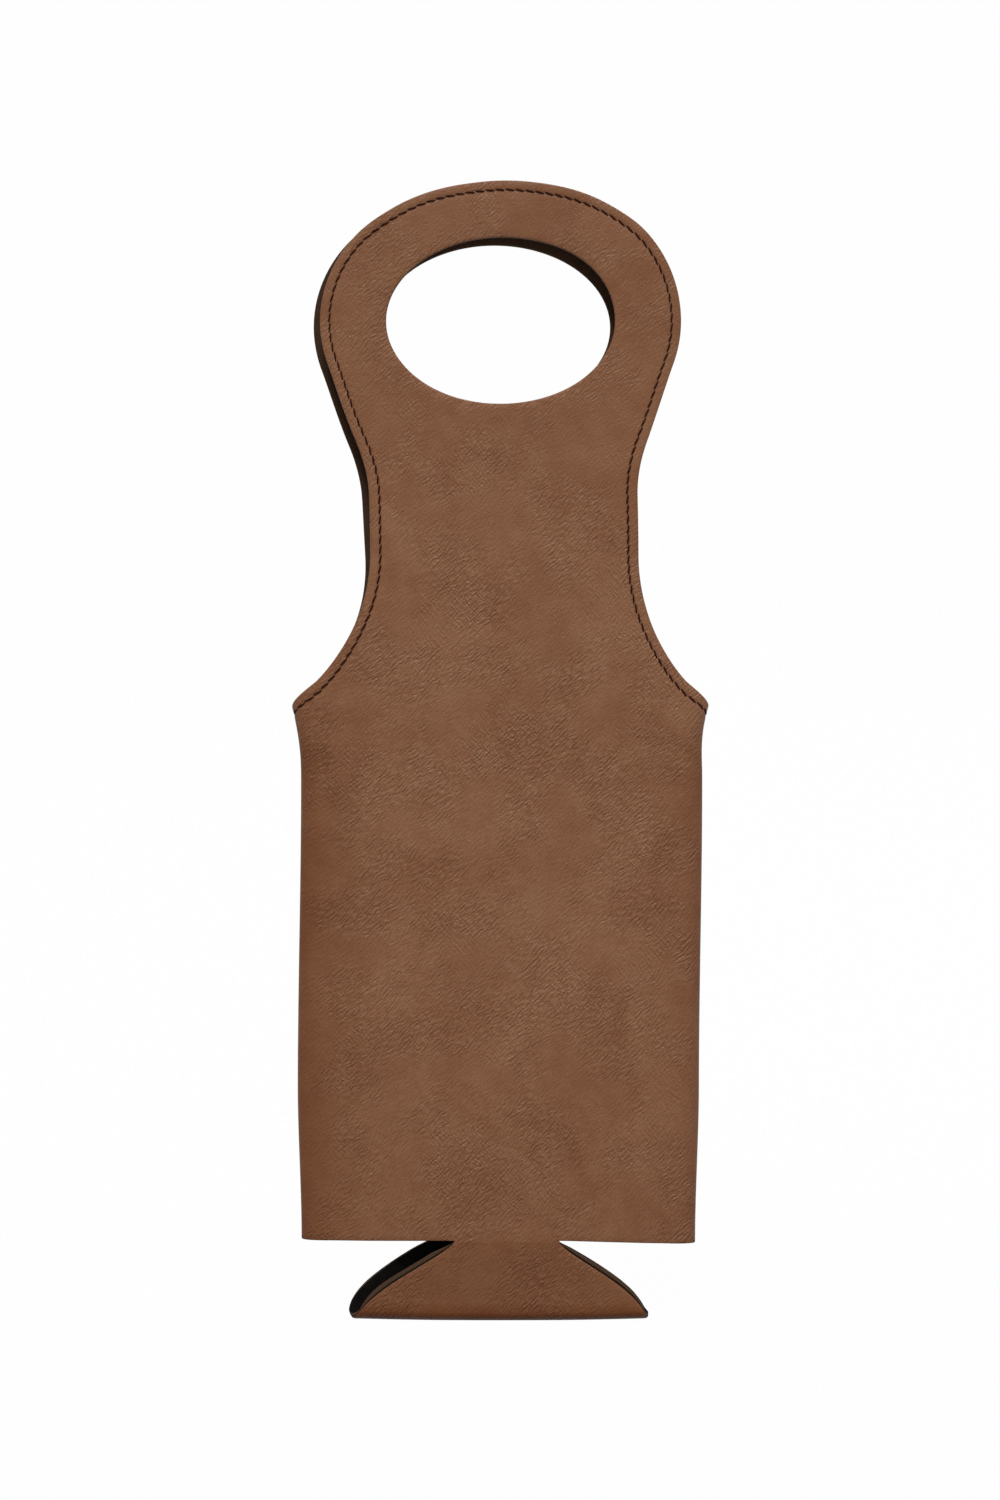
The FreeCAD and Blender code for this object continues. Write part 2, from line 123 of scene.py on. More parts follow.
# The sheets don't lie quite true: the front one bows to the right, and its crown is a little fuller than it
# was cut; the back one lies to its left
TOP_LEVEL = 50.0
FRONT_SHIFT = 0.2
FRONT_BOW = 1.5
FRONT_RIM = 0.6
RIM_WIDTH = 10.0
FRONT_TOP_LEAN = 1.9
FRONT_TOP_LIFT = 0.5
CROWN_LIFT = 0.65
CROWN_PLACE = 33.0
CROWN_WIDTH = 24.0
CROWN_FADE = 12.0
FRONT_NECK_SHIFT = 2.4
BACK_SHIFT = -2.0
BACK_STRETCH = 0.018
BACK_DROP = -1.2
BACK_NECK_SHIFT = -3.1
BACK_NECK_LIFT = 0.8
BOW_LEVEL = -88.0
BOW_LENGTH = 62.0
NECK_LENGTH = 45.0
FLANK_LEVEL = -40.0
FLANK_LENGTH = 26.0
FLANK_FULLNESS = 0.012
CORNER_DROOP = 0.7
CORNER_SKEW = 0.7

# Thread
STITCH_MARGIN = 3.4
STITCH_PITCH = 3.6
STITCH_LENGTH = 3.5
STITCH_SLANT = 9.0
THREAD_RADIUS = 0.29
THREAD_END_RADIUS = 0.16
STITCH_LIFT = 0.06
STITCH_DIP = 0.28
STITCH_STATIONS = 9
STITCH_SIDES = 8
CHANNEL_DEPTH = 0.24
CHANNEL_WIDTH = 0.45
SEAM_MARGIN = 4.0
SEAM_STATIONS = 60

# Zones: each spans one fold only, so they part where the sheet stays flat
WAIST_CUT = HANDLE_FOLD - 11.4
SIDE_CUT = SIDE_FOLD - 0.5
SIDE_BEND = 8.0
HANDLE_BEND = 6.5
NECK_BEND = 6.0
ZONES = ("wall", "handle", "left", "right", "base")

# Meshes: spacing of points along edges and inside, how close points may be, and where shading breaks
SPACING = 1.5
GRID = 3.0
FINE_GRID = 1.0
RING_CLEARANCE = EDGE_ROUND / 4
GRID_CLEARANCE = 0.8 * FINE_GRID
MERGE_DISTANCE = 1e-5
SHARP_ANGLE = 60


def smooth_step(value):
    value = np.clip(value, 0, 1)
    return value * value * (3 - 2 * value)


def seam_tip(side, z):
    """Half width of the closed carrier at its seam, on the right (side 1) or the left (-1)."""
    below_ear = np.clip((EAR_LEVEL - z) / EAR_LENGTH, 0, 1)
    flare = EAR_FLARE * (1 - below_ear) ** 2
    taper = TAPER * smooth_step((WALL_BOTTOM + TAPER_LENGTH - z) / TAPER_LENGTH)
    sway = SWAY * np.cos(math.pi * np.clip((SWAY_TOP - z) / SWAY_LENGTH, 0, 1))
    fade = 1 - smooth_step((z - SWAY_TOP) / EAR_LENGTH)
    return SEAM + SEAM_STAND_OUT + flare - taper + side * sway * fade


def roll_length(across, deep):
    """Length of a quarter of an ellipse."""
    return math.pi / 2 * math.sqrt((across ** 2 + deep ** 2) / 2)


def seam_end(side, z):
    """Where the flat sheet ends at the seam."""
    return seam_tip(side, z) - SEAM_ROLL_ACROSS + roll_length(SEAM_ROLL_ACROSS, SEAM_ROLL_DEEP)


def arc(centre, radius, start, end):
    """Points along an arc, angles in degrees."""
    count = math.ceil(abs(math.radians(end - start)) * radius / SPACING)
    angles = np.radians(np.linspace(start, end, count + 1))
    return np.column_stack([centre[0] + radius * np.cos(angles), centre[1] + radius * np.sin(angles)])


def line(start, end):
    count = math.ceil(math.dist(start, end) / SPACING)
    return np.linspace(start, end, count + 1)


def joined(*parts):
    return np.concatenate([parts[0]] + [part[1:] for part in parts[1:]])


def handle_edge(side):
    """From the middle of the handle's top down its side, the waist and the shoulder to the seam's top."""
    side_centre = (WAIST_HALF_WIDTH + HEAD_OVERHANG - HEAD_SIDE_RADIUS, 0)
    top_drop = math.sqrt((HEAD_TOP_RADIUS - HEAD_SIDE_RADIUS) ** 2 - side_centre[0] ** 2)
    top_angle = math.degrees(math.atan2(top_drop, side_centre[0]))
    waist_centre = (WAIST_HALF_WIDTH + WAIST_RADIUS, WAIST_HIGH)
    shoulder_centre = (WAIST_HALF_WIDTH + SHOULDER_RADIUS, WAIST_LOW)
    across = shoulder_centre[0] - seam_end(side, EAR_LEVEL)
    ear_angle = 180 + math.degrees(math.acos(across / SHOULDER_RADIUS))
    side_arc = arc(side_centre, HEAD_SIDE_RADIUS, top_angle, -FLANK_ANGLE)
    waist_arc = arc(waist_centre, WAIST_RADIUS, 180 - FLANK_ANGLE, 180)
    return joined(
        arc((0, -top_drop), HEAD_TOP_RADIUS, 90, top_angle),
        side_arc,
        line(side_arc[-1], waist_arc[0]),
        waist_arc,
        line((WAIST_HALF_WIDTH, WAIST_HIGH), (WAIST_HALF_WIDTH, WAIST_LOW)),
        arc(shoulder_centre, SHOULDER_RADIUS, 180, ear_angle),
    )


def base_edge(face):
    """From the neck's corner out along the base half to the end of its bottom fold, a cubic curve.
    The carrier folds a little in front of its widest line, so the back half is the fuller one."""
    neck = np.array([NECK_HALF_WIDTH, WALL_BOTTOM])
    first, second = [np.array([across, WALL_BOTTOM - below]) for across, below in BASE_GUIDES[face]]
    end = np.array(fold_end())
    share = np.linspace(0, 1, math.ceil(math.dist(neck, end) / SPACING) + 1)[:, None]
    rest = 1 - share
    curve = rest ** 3 * neck + 3 * rest ** 2 * share * first
    curve += 3 * rest * share ** 2 * second
    return curve + share ** 3 * end


def fold_end():
    """Corner of the flat sheet at the end of the bottom fold."""
    return (BASE_TIP, WALL_BOTTOM - BASE_REACH + BASE_ROLL - roll_length(BASE_ROLL, BASE_ROLL))


def half_outline(side, face):
    """Runs of the cut edge down one side, as (kind, points), s counted outwards."""
    handle = handle_edge(side)
    ear = handle[-1]
    levels = np.linspace(ear[1], WALL_BOTTOM, math.ceil((ear[1] - WALL_BOTTOM) / SPACING) + 1)
    seam = np.column_stack([seam_end(side, levels), levels])
    seam[0] = ear
    end = fold_end()
    return [
        ("stitched", handle),
        ("seam", seam),
        ("cut", line(seam[-1], (NECK_HALF_WIDTH, WALL_BOTTOM))),
        ("cut", base_edge(face)),
        ("fold", line(end, (0, end[1]))),
    ]


def hole_edge():
    count = math.ceil(math.pi * (HOLE_HALF_WIDTH + HOLE_HALF_HEIGHT) / SPACING)
    angles = np.linspace(0, 2 * math.pi, count + 1)
    return np.column_stack([HOLE_HALF_WIDTH * np.cos(angles), HOLE_HALF_HEIGHT * np.sin(angles)])


def inside(points, outline):
    """Which points lie inside a closed outline.
    A line from such a point to the right crosses the outline an odd number of times."""
    s, z = points.T
    found = np.zeros(len(points), dtype=bool)
    for (start_s, start_z), (end_s, end_z) in zip(outline, outline[1:]):
        if start_z == end_z:
            continue
        crosses = (start_z > z) != (end_z > z)
        at = start_s + (z - start_z) / (end_z - start_z) * (end_s - start_s)
        found ^= crosses & (s < at)
    return found


def inward(run):
    """Unit normals of a run, to the right of its direction, which is inside the sheet."""
    ahead = np.gradient(run, axis=0)
    ahead /= np.linalg.norm(ahead, axis=1)[:, None]
    return np.column_stack([ahead[:, 1], -ahead[:, 0]])


# Lines of extra points beside an edge, at these distances from it
EDGE_LINES = np.array([1 / 3, 1]) * EDGE_ROUND
ROLL_LINES = np.arange(1, 11) / 10
RINGS = {
    "stitched": np.concatenate([EDGE_LINES, STITCH_MARGIN + CHANNEL_WIDTH * np.arange(-2, 3)]),
    "cut": EDGE_LINES,
    "seam": ROLL_LINES * roll_length(SEAM_ROLL_ACROSS, SEAM_ROLL_DEEP),
    "fold": ROLL_LINES * roll_length(BASE_ROLL, BASE_ROLL),
}


def rings(kind, run):
    return np.concatenate([run + distance * inward(run) for distance in RINGS[kind]])


def mirrored(points, side):
    return points * np.array([side, 1])


def grid_points():
    """Points inside the sheet, closer together where it bends."""
    across = np.concatenate([
        np.arange(0, SEAM, GRID),
        np.arange(SIDE_CUT, SIDE_CUT + SIDE_BEND + FINE_GRID, FINE_GRID),
    ])
    across = np.concatenate([-across, across])
    low = fold_end()[1]
    levels = np.concatenate([
        np.arange(low, HEAD_TOP_RADIUS, GRID),
        np.arange(HANDLE_FOLD - HANDLE_BEND, HANDLE_FOLD + HANDLE_BEND, FINE_GRID),
        np.arange(WALL_BOTTOM - NECK_BEND, WALL_BOTTOM, FINE_GRID),
    ])
    s, z = np.meshgrid(np.unique(across), np.unique(levels))
    return np.column_stack([s.ravel(), z.ravel()])


def apart(points, others, least):
    """The points that stand at least that far from the others."""
    tree = KDTree(len(others))
    for index, (s, z) in enumerate(others):
        tree.insert((s, z, 0), index)
    tree.balance()
    return np.array([point for point in points if tree.find((*point, 0))[2] > least])


def cut_lines():
    """Where the zones part, as straight lines across the sheet."""
    neck = NECK_HALF_WIDTH
    waist = WAIST_HALF_WIDTH + FINE_GRID
    top = WAIST_LOW
    return [
        line((-waist, WAIST_CUT), (waist, WAIST_CUT)),
        line((-neck, WALL_BOTTOM), (neck, WALL_BOTTOM)),
        line((SIDE_CUT, WALL_BOTTOM), (SIDE_CUT, top)),
        line((-SIDE_CUT, WALL_BOTTOM), (-SIDE_CUT, top)),
    ]


def chain(points, first):
    """Edges that join points in order, counted from first."""
    return [(first + index, first + index + 1) for index in range(len(points) - 1)]


class Pattern:
    """The flat cut sheet: its edge, its triangles and the zone of each triangle."""

    def __init__(self, face):
        halves = {side: half_outline(side, face) for side in (1, -1)}
        right = joined(*[run for _, run in halves[1]])
        left = joined(*[run for _, run in halves[-1]])
        outline = joined(right, mirrored(left, -1)[::-1])
        hole = hole_edge()
        lines = [outline, hole] + cut_lines()
        edge_points = np.concatenate(lines)
        extra = [mirrored(rings(kind, run), side) for side in halves for kind, run in halves[side]]
        extra.append(rings("cut", hole))
        extra = apart(np.unique(np.concatenate(extra).round(2), axis=0), edge_points, RING_CLEARANCE)
        inner = apart(grid_points(), np.concatenate([edge_points, extra]), GRID_CLEARANCE)
        points = np.concatenate([edge_points, extra, inner])
        edges = []
        first = 0
        for run in lines:
            edges += chain(run, first)
            first += len(run)
        whole_hull = 0
        made = delaunay_2d_cdt([Vector(point) for point in points], edges, [], whole_hull, MERGE_DISTANCE)
        self.points = np.array([tuple(point) for point in made[0]])
        faces = np.array(made[2])
        middles = self.points[faces].mean(axis=1)
        self.faces = faces[inside(middles, outline) & ~inside(middles, hole)]
        middles = self.points[self.faces].mean(axis=1)
        self.zones = {zone: self.faces[zone_of(middles) == zone] for zone in ZONES}
        self.halves = halves
        self.cut_distance = self.distance_to("cut", [hole])
        self.stitched_distance = self.distance_to("stitched", [])
        self.edge_distance = np.minimum(self.cut_distance, self.stitched_distance)

    def distance_to(self, kind, runs):
        """Each point's distance to the edges of one kind, on both sides, and to more runs."""
        for side, half in self.halves.items():
            runs = runs + [mirrored(run, side) for named, run in half if named == kind]
        least = np.full(len(self.points), np.inf)
        for run in runs:
            for start, end in zip(run, run[1:]):
                along = end - start
                share = np.clip((self.points - start) @ along / (along @ along), 0, 1)
                away = self.points - start - share[:, None] * along
                least = np.minimum(least, np.hypot(away[:, 0], away[:, 1]))
        return least

    def stitch_line(self):
        """The topstitch's line from one seam's top, over the handle, to the other's."""
        halves = []
        for side in (1, -1):
            run = self.halves[side][0][1]
            halves.append(mirrored(run + STITCH_MARGIN * inward(run), side))
        return joined(halves[1][::-1], halves[0])


def zone_of(points):
    """The zone that each flat place is in."""
    s, z = points[:, 0], points[:, 1]
    found = np.full(len(points), "wall", dtype="<U6")
    found[s > SIDE_CUT] = "right"
    found[s < -SIDE_CUT] = "left"
    found[z > WAIST_CUT] = "handle"
    found[z < WALL_BOTTOM] = "base"
    return found


# Folding the flat sheet into the frame
def fold_over(distance, start, tip, across, deep):
    """A sheet that leaves the flat at start and rolls over at tip to the carrier's middle plane.
    The roll is a quarter of an ellipse. Gives the place along, the depth under the flat and the lean."""
    roll_start = tip - across
    span = roll_start - start
    share = np.clip((distance - start) / span, 0, 1)
    drop = HALF_DEPTH - deep
    roll = np.clip((distance - roll_start) / roll_length(across, deep), 0, 1) * math.pi / 2
    along = np.minimum(distance, roll_start) + across * np.sin(roll)
    depth = drop * smooth_step(share) + deep * (1 - np.cos(roll))
    lean = np.arctan(drop * 6 * share * (1 - share) / span)
    lean += np.arctan2(deep * np.sin(roll), across * np.cos(roll))
    return along, depth, lean


def wave(s, z):
    """Slight unevenness of a soft sheet that isn't pressed flat."""
    first, second, third = [np.sin(s / across + z / up) for across, up in WAVE_LENGTHS]
    return WAVE * (first * second + third / 2)


def bump_at(z, level, length):
    """1 at a level, falling smoothly to 0 at a distance above and below it."""
    return np.clip(1 - ((z - level) / length) ** 2, 0, 1) ** 2


def offset(s, z, face):
    """How far a sheet lies off its true place, across and up."""
    side_span = SEAM - SEAM_ROLL_ACROSS - WAIST_HALF_WIDTH
    middle = 1 - smooth_step((np.abs(s) - WAIST_HALF_WIDTH) / side_span)
    base = np.sqrt(np.clip(1 - (WALL_BOTTOM - z) / BASE_REACH, 0, 1))
    neck = np.where(z < WALL_BOTTOM, base, bump_at(z, WALL_BOTTOM, NECK_LENGTH) * middle)
    low = smooth_step((WALL_BOTTOM + TAPER_LENGTH - z) / TAPER_LENGTH) * (z >= WALL_BOTTOM - TINY)
    outer = np.clip((np.abs(s) - NECK_HALF_WIDTH) / (SEAM - NECK_HALF_WIDTH), 0, None)
    up = -(CORNER_DROOP + CORNER_SKEW * np.sign(s)) * low * outer
    up -= BASE_SAG * (1 - (s / BASE_TIP) ** 2) * smooth_step((WALL_BOTTOM - z) / BASE_REACH)
    free = smooth_step((z - EAR_LEVEL - EAR_LENGTH) / (HANDLE_FOLD / 2 - EAR_LEVEL - EAR_LENGTH))
    across = FLANK_FULLNESS * s * bump_at(z, FLANK_LEVEL, FLANK_LENGTH)
    across += BASE_SHIFT * smooth_step((WALL_BOTTOM - z) / BASE_REACH)
    if face > 0:
        top = (np.clip(z, 0, None) / TOP_LEVEL) ** 2
        across += FRONT_SHIFT * free + FRONT_BOW * bump_at(z, BOW_LEVEL, BOW_LENGTH)
        across += FRONT_TOP_LEAN * top + FRONT_NECK_SHIFT * neck
        rim = smooth_step((np.abs(s) - HOLE_HALF_WIDTH) / RIM_WIDTH)
        rim *= smooth_step((z - EAR_LEVEL) / EAR_LENGTH)
        across += FRONT_RIM * np.sign(s) * rim
        crown = bump_at(np.abs(s), CROWN_PLACE, CROWN_WIDTH)
        crown_start = np.where(s > 0, 0, HOLE_HALF_HEIGHT)
        up += CROWN_LIFT * crown * smooth_step((z - crown_start) / CROWN_FADE)
        return across, up + FRONT_TOP_LIFT * top
    across += (BACK_SHIFT + BACK_STRETCH * s) * free + BACK_NECK_SHIFT * neck
    return across, up + BACK_DROP * free + BACK_NECK_LIFT * neck


def place(flat, t, face):
    """Where flat places at depth t lie in the frame, in millimetres.
    face is 1 for the front sheet and -1 for the back one."""
    s, z = flat[:, 0], flat[:, 1]
    side = np.where(s < 0, -1, 1)
    along, depth, lean = fold_over(np.abs(s), SIDE_CUT, seam_tip(side, z), SEAM_ROLL_ACROSS, SEAM_ROLL_DEEP)
    x = side * (along - t * np.sin(lean))
    up = z.copy()
    base = z < WALL_BOTTOM - TINY
    down, base_depth, base_lean = fold_over(WALL_BOTTOM - z, 0, BASE_REACH, BASE_ROLL, BASE_ROLL)
    x[base] = s[base]
    depth[base] = base_depth[base]
    lean[base] = base_lean[base]
    up[base] = (WALL_BOTTOM - down + t * np.sin(base_lean))[base]
    y = -HALF_DEPTH + depth + t * np.cos(lean)
    y += wave(face * (s + WAVE_SHIFT), z) * (1 - depth / HALF_DEPTH) ** 2
    across, lift = offset(s, z, face)
    return np.column_stack([x + across, face * y, up + lift])


# Building meshes
def add_object(name, data):
    """A new object in the scene."""
    made = bpy.data.objects.new(name, data)
    bpy.context.scene.collection.objects.link(made)
    return made


def make_object(name, points, faces, flat, shade, materials, choices):
    """A smooth-shaded mesh from millimetres.
    Each point's flat place and edge shade are kept on it for the materials."""
    mesh = bpy.data.meshes.new(name)
    mesh.from_pydata((points * MM).tolist(), [], faces)
    for material in materials:
        mesh.materials.append(material)
    mesh.polygons.foreach_set("material_index", choices)
    kept = mesh.attributes.new("flat_place", "FLOAT_VECTOR", "POINT")
    flat_places = np.column_stack([flat, np.zeros(len(flat))]).astype(np.float32)
    kept.data.foreach_set("vector", flat_places.ravel() * MM)
    kept = mesh.attributes.new("edge_shade", "FLOAT", "POINT")
    kept.data.foreach_set("value", shade.astype(np.float32))
    mesh.shade_smooth()
    mesh.set_sharp_from_angle(angle=math.radians(SHARP_ANGLE))
    return add_object(name, mesh)


def open_edges(faces):
    """Edges that only one face has, in that face's direction."""
    edges = np.concatenate([faces[:, [0, 1]], faces[:, [1, 2]], faces[:, [2, 0]]])
    known = {tuple(edge) for edge in edges.tolist()}
    return np.array([edge for edge in edges.tolist() if (edge[1], edge[0]) not in known])


# Painted shade, where the sheet turns from the light or lies in shadow: its strengths, and the widths in
# which it fades away from an edge
ROLL_SHADE = 0.28
ROLL_SHADE_WIDTH = 13.0
LEFT_SHADE = 0.4
RIGHT_SHADE = 0.2
LOWER_SHADE = 0.1
BODY_SHADE_START = 5.0
BODY_SHADE_WIDTH = 30.0
HEAD_PAINTED_SHADE = 0.17
BASE_SHADE = 0.41
FOLD_SHADE = 1.8
FOLD_SHADE_WIDTH = 10.5
CUT_SHADE = 0.2
CUT_SHADE_WIDTH = 1.2
CHANNEL_SHADE = 0.25


def channel_at(pattern):
    """1 on the topstitch's line, falling to 0 beside it."""
    return np.exp(-((pattern.stitched_distance - STITCH_MARGIN) / CHANNEL_WIDTH) ** 2)


def edge_shade(pattern):
    """Painted shade: how dark each point is painted along the rolled seams, the bottom fold and the cut
    edges, where the sheet turns from the light or lies in shadow; also lower down, on the head, the base and
    the channel. 2 is darkest.
    """
    s, z = pattern.points.T
    to_seam = seam_end(np.sign(s), z) - np.abs(s)
    body = smooth_step((EAR_LEVEL - z) / EAR_LENGTH)
    lower = smooth_step((EAR_LEVEL - z) / (EAR_LEVEL - WALL_BOTTOM) * 2 - 1)
    # Painted shade where the rolled seams and sides turn from the light, broader on the left, and darker
    # towards the bottom
    narrow = ROLL_SHADE * (1 - smooth_step(to_seam / ROLL_SHADE_WIDTH))
    broad = np.where(s < 0, LEFT_SHADE + LOWER_SHADE * lower, RIGHT_SHADE)
    broad *= 1 - smooth_step((to_seam - BODY_SHADE_START) / BODY_SHADE_WIDTH)
    low = LOWER_SHADE * lower
    # Painted shade on the head, where the light falls stronger
    head_shade = HEAD_PAINTED_SHADE * smooth_step(2 + z / HOLE_HALF_HEIGHT)
    # Painted shade on the base, which leans from the light, deepening to painted shadow in the bottom fold
    base = BASE_SHADE * smooth_step((WALL_BOTTOM - z) / NECK_DROP / 2 + 0.5)
    fold = BASE_SHADE + FOLD_SHADE * np.clip(1 - (z - fold_end()[1]) / FOLD_SHADE_WIDTH, 0, 1) ** 2
    fold = np.where(z < WALL_BOTTOM, fold, 0)
    # Painted shade along the cut edges and in the topstitch's channel
    cut = CUT_SHADE * (1 - smooth_step(pattern.edge_distance / CUT_SHADE_WIDTH))
    channel = CHANNEL_SHADE * channel_at(pattern)
    seams = np.where(z < WALL_BOTTOM, 0, body * (narrow + broad))
    return np.max([seams, low, head_shade, base, fold, cut, channel], axis=0)


# How far the back's grain lies from the front's, so that it isn't the same
BACK_GRAIN = 400.0


def make_layer(name, flats, shade, faces, depths, face, materials):
    """One closed layer of the sheet between its outer and inner face, each given by flat places and depths.
    The materials are for its outer face, rim and inner face."""
    used, faces = np.unique(faces, return_inverse=True)
    faces = faces.reshape(-1, 3)
    count = len(used)
    points = np.concatenate([place(flat[used], depth[used], face) for flat, depth in zip(flats, depths)])
    start, end = open_edges(faces).T
    rim = np.column_stack([end, start, start + count, end + count])
    every = faces.tolist() + rim.tolist() + (faces[:, ::-1] + count).tolist()
    if face < 0:
        every = [corners[::-1] for corners in every]
    choices = [0] * len(faces) + [1] * len(rim) + [2] * len(faces)
    grain = np.concatenate([flat[used] for flat in flats]) + [BACK_GRAIN if face < 0 else 0, 0]
    return make_object(name, points, every, grain, np.tile(shade[used], 2), materials, choices)


# Thread
def stitch_shape():
    """A stitch about the origin: places along, across and above the sheet's face, and its faces."""
    stations = np.linspace(-1, 1, STITCH_STATIONS)
    angles = np.linspace(0, 2 * math.pi, STITCH_SIDES, endpoint=False)
    rows = []
    for station in stations:
        lift = STITCH_LIFT - STITCH_DIP * station ** 4
        radius = THREAD_RADIUS + (THREAD_END_RADIUS - THREAD_RADIUS) * station ** 4
        rows.append(np.column_stack([
            np.full(STITCH_SIDES, station * STITCH_LENGTH / 2),
            radius * np.cos(angles),
            lift + radius * np.sin(angles),
        ]))
    faces = []
    last = (STITCH_STATIONS - 1) * STITCH_SIDES
    for first in range(0, last, STITCH_SIDES):
        for step in range(STITCH_SIDES):
            near = [first + step, first + (step + 1) % STITCH_SIDES]
            far = [corner + STITCH_SIDES for corner in near]
            faces.append(near + far[::-1])
    faces.append(list(range(STITCH_SIDES))[::-1])
    faces.append([last + step for step in range(STITCH_SIDES)])
    return np.concatenate(rows), faces


def spaced(path, pitch):
    """Middles and directions of stitches at an even pitch along a path."""
    steps = np.linalg.norm(np.diff(path, axis=0), axis=1)
    lengths = np.concatenate([[0], np.cumsum(steps)])
    count = round(lengths[-1] / pitch)
    places = (np.arange(count) + 0.5) * lengths[-1] / count
    ends = []
    for shift in (-1, 1):
        ends.append(np.column_stack([np.interp(places + shift, lengths, values) for values in path.T]))
    before, after = ends
    ahead = after - before
    return (before + after) / 2, np.arctan2(ahead[:, 1], ahead[:, 0])


def make_thread(name, middles, angles, face, sides):
    """Stitches on the leather (side -1) and the lining (1), as one piece."""
    shape, shape_faces = stitch_shape()
    slant = math.radians(STITCH_SLANT)
    points, grain, faces = [], [], []
    for side in sides:
        for middle, angle in zip(middles, angles):
            turn = angle + slant * side
            s = middle[0] + shape[:, 0] * math.cos(turn) - shape[:, 1] * math.sin(turn)
            z = middle[1] + shape[:, 0] * math.sin(turn) + shape[:, 1] * math.cos(turn)
            t = shape[:, 2] + SHEET if side > 0 else -shape[:, 2]
            first = len(points) * len(shape)
            flip = side * face < 0
            for corners in shape_faces:
                ordered = corners if flip else corners[::-1]
                faces.append([first + corner for corner in ordered])
            points.append(place(np.column_stack([s, z]), t, face))
            grain.append(shape[:, :2] + middle)
    shade = np.tile((2 * shape[:, 0] / STITCH_LENGTH) ** 4, len(points))
    points = np.concatenate(points)
    grain = np.concatenate(grain)
    return make_object(name, points, faces, grain, shade, [thread], [0] * len(faces))


# Materials
def add_node(tree, kind, inputs=None, **settings):
    """A node with its settings, and its inputs set to values or linked to sockets."""
    made = tree.nodes.new(kind)
    for name, value in settings.items():
        setattr(made, name, value)
    for name, value in (inputs or {}).items():
        if isinstance(value, bpy.types.NodeSocket):
            tree.links.new(value, made.inputs[name])
        else:
            made.inputs[name].default_value = value
    return made


def new_material(name):
    material = bpy.data.materials.new(name)
    material.use_nodes = True
    tree = material.node_tree
    shader = tree.nodes["Principled BSDF"]
    flat = add_node(tree, "ShaderNodeAttribute", attribute_name="flat_place").outputs["Vector"]
    return material, tree, shader, flat


def noise(tree, where, scale, detail=2.0, roughness=0.5, distortion=0.0):
    inputs = {"Vector": where, "Scale": scale, "Detail": detail}
    inputs |= {"Roughness": roughness, "Distortion": distortion}
    return add_node(tree, "ShaderNodeTexNoise", inputs, noise_dimensions="2D").outputs["Fac"]


def calculate(tree, operation, first, second):
    return add_node(tree, "ShaderNodeMath", {0: first, 1: second}, operation=operation).outputs[0]


def remap(tree, value, low, high, new_low=0.0, new_high=1.0):
    inputs = {"Value": value, "From Min": low, "From Max": high, "To Min": new_low, "To Max": new_high}
    return add_node(tree, "ShaderNodeMapRange", inputs, interpolation_type="SMOOTHSTEP").outputs["Result"]


def mix_colours(tree, share, first, second, blend="MIX"):
    mixed = add_node(tree, "ShaderNodeMix", data_type="RGBA", blend_type=blend)
    for socket, value in zip((mixed.inputs[0], mixed.inputs[6], mixed.inputs[7]), (share, first, second)):
        if isinstance(value, bpy.types.NodeSocket):
            tree.links.new(value, socket)
        else:
            socket.default_value = value
    return mixed.outputs[2]


def srgb(red, green, blue):
    """A colour from its 0 to 255 values, as the linear colour that nodes take."""
    def linear(value):
        value /= 255
        return value / 12.92 if value <= 0.04045 else ((value + 0.055) / 1.055) ** 2.4
    return (linear(red), linear(green), linear(blue), 1.0)


def turned(tree, where, angle, stretch):
    """A place turned in the sheet's plane, with what is drawn on it stretched along that direction."""
    inputs = {"Vector": where, "Rotation": (0, 0, math.radians(angle)), "Scale": (stretch, 1, 1)}
    return add_node(tree, "ShaderNodeMapping", inputs, vector_type="TEXTURE").outputs["Vector"]


def vector_step(tree, operation, inputs):
    return add_node(tree, "ShaderNodeVectorMath", inputs, operation=operation).outputs[0]


def bent_place(tree, flat, scale, amount):
    """A place moved about by noise, so that what is drawn on it wavers."""
    inputs = {"Vector": flat, "Scale": scale, "Detail": 1.0}
    drift = add_node(tree, "ShaderNodeTexNoise", inputs, noise_dimensions="2D").outputs["Color"]
    drift = vector_step(tree, "SUBTRACT", {0: drift, 1: (0.5, 0.5, 0.5)})
    drift = vector_step(tree, "SCALE", {0: drift, "Scale": amount})
    return vector_step(tree, "ADD", {0: flat, 1: drift})


def ripples(tree, where, angle, stretch, scale, patches):
    """Fine wrinkles that run at an angle, within patches."""
    waves = noise(tree, turned(tree, where, angle, stretch), scale, detail=0.5)
    return calculate(tree, "MULTIPLY", remap(tree, waves, 0.3, 0.7, -0.5, 0.5), patches)


def furrows(tree, where, angle, patches):
    """Parallel, wavering wrinkles that run at an angle, within patches and broken up along their way."""
    inputs = {"Vector": turned(tree, where, angle, stretch=1), "Scale": 215.0}
    inputs |= {"Distortion": 6.0, "Detail": 1.0, "Detail Scale": 1.6}
    lines = add_node(tree, "ShaderNodeTexWave", inputs, bands_direction="Y").outputs["Fac"]
    breaks = remap(tree, noise(tree, turned(tree, where, angle, stretch=2.6), scale=420), 0.38, 0.6)
    waves = calculate(tree, "MULTIPLY", calculate(tree, "SUBTRACT", lines, 0.5), breaks)
    return calculate(tree, "MULTIPLY", waves, patches)


def total(tree, *values):
    """Sum of sockets."""
    result = values[0]
    for value in values[1:]:
        result = calculate(tree, "ADD", result, value)
    return result


def weighted(tree, *parts):
    """Sum of sockets, each times its weight."""
    return total(tree, *[calculate(tree, "MULTIPLY", value, weight) for value, weight in parts])


def kept_shade(tree):
    """The edge shade kept on the mesh."""
    return add_node(tree, "ShaderNodeAttribute", attribute_name="edge_shade").outputs["Fac"]


